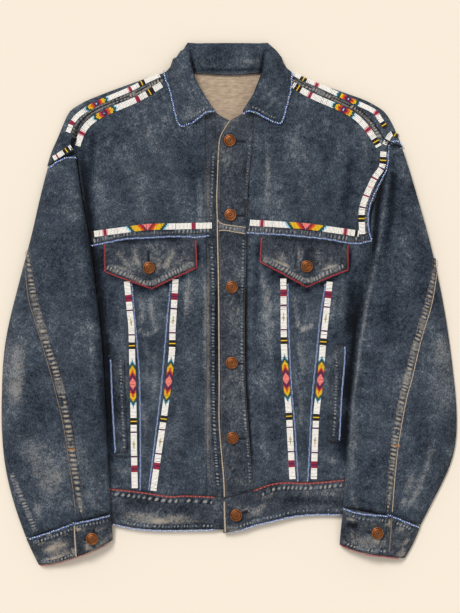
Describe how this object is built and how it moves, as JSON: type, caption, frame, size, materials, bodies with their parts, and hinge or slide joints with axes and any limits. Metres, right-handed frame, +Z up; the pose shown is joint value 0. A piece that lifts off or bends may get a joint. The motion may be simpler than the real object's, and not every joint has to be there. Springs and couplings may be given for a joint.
{
  "type": "denim jacket",
  "caption": "Denim jacket of the trucker cut laid flat and buttoned, with bead strips along its yoke, shoulders and pocket seams.",
  "frame": {"origin": "middle of the flat underside, on the surface the jacket lies on", "axes": "+X to the viewer's right across the jacket, +Y from hem to collar, +Z up from the surface through the front"},
  "size_m": [0.6405, 0.7339, 0.0275],
  "materials": {
    "denim": "washed indigo twill with a worn, mottled face",
    "worn_denim": "two layers of washed indigo twill, rubbed pale along the edges",
    "glass_beads": "opaque glass seed beads in rows",
    "copper_buttons": "copper-plated, darkened in the hollows"
  },
  "bodies": {
    "root": {"back_yoke": "denim", "back_centre_panel": "denim", "back_side_panel_left": "denim", "back_side_panel_right": "denim", "front_yoke_left": "denim", "front_yoke_right": "denim", "front_centre_panel_left": "denim", "front_centre_panel_right": "denim", "front_pocket_panel_left": "denim", "front_pocket_panel_right": "denim", "front_side_panel_left": "denim", "front_side_panel_right": "denim", "collar": "denim", "sleeve_front_left": "denim", "sleeve_front_right": "denim", "sleeve_back_left": "denim", "sleeve_back_right": "denim", "waistband_back": "worn_denim", "waistband_left": "worn_denim", "waistband_right": "worn_denim", "placket_left": "worn_denim", "placket_right": "worn_denim", "cuff_left": "worn_denim", "cuff_right": "worn_denim", "pocket_flap_left": "worn_denim", "pocket_flap_right": "worn_denim", "welt_left": "worn_denim", "welt_right": "worn_denim", "bead_strip_pocket_left_outer": "glass_beads", "bead_strip_pocket_left_inner": "glass_beads", "bead_strip_pocket_right_inner": "glass_beads", "bead_strip_pocket_right_outer": "glass_beads", "bead_strip_yoke_left": "glass_beads", "bead_strip_yoke_right": "glass_beads", "bead_strip_armhole_right": "glass_beads", "bead_strip_shoulder_front_left": "glass_beads", "bead_strip_shoulder_back_left": "glass_beads", "bead_strip_shoulder_front_right": "glass_beads", "bead_strip_shoulder_back_right": "glass_beads", "bead_strip_sleeve_head_left": "glass_beads", "front_button_1": "copper_buttons", "front_button_2": "copper_buttons", "front_button_3": "copper_buttons", "front_button_4": "copper_buttons", "front_button_5": "copper_buttons", "front_button_6": "copper_buttons", "flap_button_left": "copper_buttons", "flap_button_right": "copper_buttons", "cuff_button_left": "copper_buttons", "cuff_button_right": "copper_buttons"}
  },
  "joints": []
}
